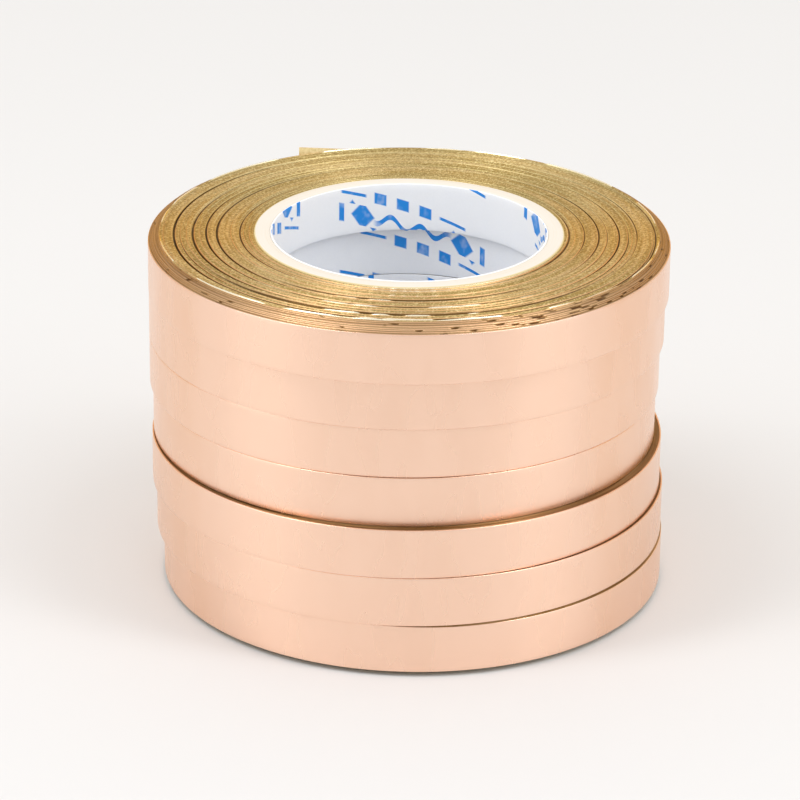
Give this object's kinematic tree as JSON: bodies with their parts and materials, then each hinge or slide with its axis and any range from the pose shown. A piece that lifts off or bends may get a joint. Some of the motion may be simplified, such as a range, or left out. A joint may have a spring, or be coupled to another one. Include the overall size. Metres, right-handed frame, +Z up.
{
  "type": "copper foil tape roll stack",
  "caption": "Stack of narrow copper foil tape rolls on printed white cores, each with a free end that peels.",
  "frame": {"origin": "centre of the bottom roll's bore, on the floor", "axes": "+Z up along the stack, +Y towards the back, where the top roll's free end stands off"},
  "size_m": [0.073, 0.0746, 0.0512],
  "materials": {
    "copper_foil": "satin",
    "wound_tape": "satin",
    "core_board": "matte",
    "printed_lining": "satin",
    "release_paper": "matte"
  },
  "bodies": {
    "roll_1": {"roll_1_core": "core_board", "roll_1_lining": "printed_lining", "roll_1_winding": "wound_tape", "roll_1_outer_turn": "copper_foil"},
    "roll_1_tail": {"roll_1_tail_foil": "copper_foil", "roll_1_tail_backing": "release_paper"},
    "roll_2": {"roll_2_core": "core_board", "roll_2_lining": "printed_lining", "roll_2_winding": "wound_tape", "roll_2_outer_turn": "copper_foil"},
    "roll_2_tail": {"roll_2_tail_foil": "copper_foil", "roll_2_tail_backing": "release_paper"},
    "roll_3": {"roll_3_core": "core_board", "roll_3_lining": "printed_lining", "roll_3_winding": "wound_tape", "roll_3_outer_turn": "copper_foil"},
    "roll_3_tail": {"roll_3_tail_foil": "copper_foil", "roll_3_tail_backing": "release_paper"},
    "roll_4": {"roll_4_core": "core_board", "roll_4_lining": "printed_lining", "roll_4_winding": "wound_tape", "roll_4_outer_turn": "copper_foil"},
    "roll_4_tail": {"roll_4_tail_foil": "copper_foil", "roll_4_tail_backing": "release_paper"},
    "roll_5": {"roll_5_core": "core_board", "roll_5_lining": "printed_lining", "roll_5_winding": "wound_tape", "roll_5_outer_turn": "copper_foil"},
    "roll_5_tail": {"roll_5_tail_foil": "copper_foil", "roll_5_tail_backing": "release_paper"},
    "roll_6": {"roll_6_core": "core_board", "roll_6_lining": "printed_lining", "roll_6_winding": "wound_tape", "roll_6_outer_turn": "copper_foil"},
    "roll_6_tail": {"roll_6_tail_foil": "copper_foil", "roll_6_tail_backing": "release_paper"},
    "roll_7": {"roll_7_core": "core_board", "roll_7_lining": "printed_lining", "roll_7_winding": "wound_tape", "roll_7_outer_turn": "copper_foil"},
    "roll_7_tail": {"roll_7_tail_foil": "copper_foil", "roll_7_tail_backing": "release_paper"}
  },
  "joints": [
    {"name": "roll_1_tail_peel", "type": "hinge", "parent": "roll_1", "child": "roll_1_tail", "pos_m": [-0.01683, 0.03165, 0.00422], "axis": [0, 0, -1], "range_deg": [0, 90]},
    {"name": "roll_2_lift", "type": "slide", "parent": "roll_1", "child": "roll_2", "axis": [0, 0, 1], "range_m": [0, 0.03]},
    {"name": "roll_2_tail_peel", "type": "hinge", "parent": "roll_2", "child": "roll_2_tail", "pos_m": [0.01065, 0.03458, 0.01128], "axis": [0, 0, -1], "range_deg": [0, 90]},
    {"name": "roll_3_lift", "type": "slide", "parent": "roll_2", "child": "roll_3", "axis": [0, 0, 1], "range_m": [0, 0.03]},
    {"name": "roll_3_tail_peel", "type": "hinge", "parent": "roll_3", "child": "roll_3_tail", "pos_m": [-0.00485, 0.03645, 0.01833], "axis": [0, 0, -1], "range_deg": [0, 90]},
    {"name": "roll_4_lift", "type": "slide", "parent": "roll_3", "child": "roll_4", "axis": [0, 0, 1], "range_m": [0, 0.03]},
    {"name": "roll_4_tail_peel", "type": "hinge", "parent": "roll_4", "child": "roll_4_tail", "pos_m": [0.01645, 0.03215, 0.02538], "axis": [0, 0, -1], "range_deg": [0, 90]},
    {"name": "roll_5_lift", "type": "slide", "parent": "roll_4", "child": "roll_5", "axis": [0, 0, 1], "range_m": [0, 0.03]},
    {"name": "roll_5_tail_peel", "type": "hinge", "parent": "roll_5", "child": "roll_5_tail", "pos_m": [-0.01088, 0.03682, 0.03243], "axis": [0, 0, -1], "range_deg": [0, 90]},
    {"name": "roll_6_lift", "type": "slide", "parent": "roll_5", "child": "roll_6", "axis": [0, 0, 1], "range_m": [0, 0.03]},
    {"name": "roll_6_tail_peel", "type": "hinge", "parent": "roll_6", "child": "roll_6_tail", "pos_m": [0.00509, 0.03775, 0.03948], "axis": [0, 0, -1], "range_deg": [0, 90]},
    {"name": "roll_7_lift", "type": "slide", "parent": "roll_6", "child": "roll_7", "axis": [0, 0, 1], "range_m": [0, 0.03]},
    {"name": "roll_7_tail_peel", "type": "hinge", "parent": "roll_7", "child": "roll_7_tail", "pos_m": [0.00087, 0.03685, 0.04652], "axis": [0, 0, -1], "range_deg": [0, 90]}
  ]
}
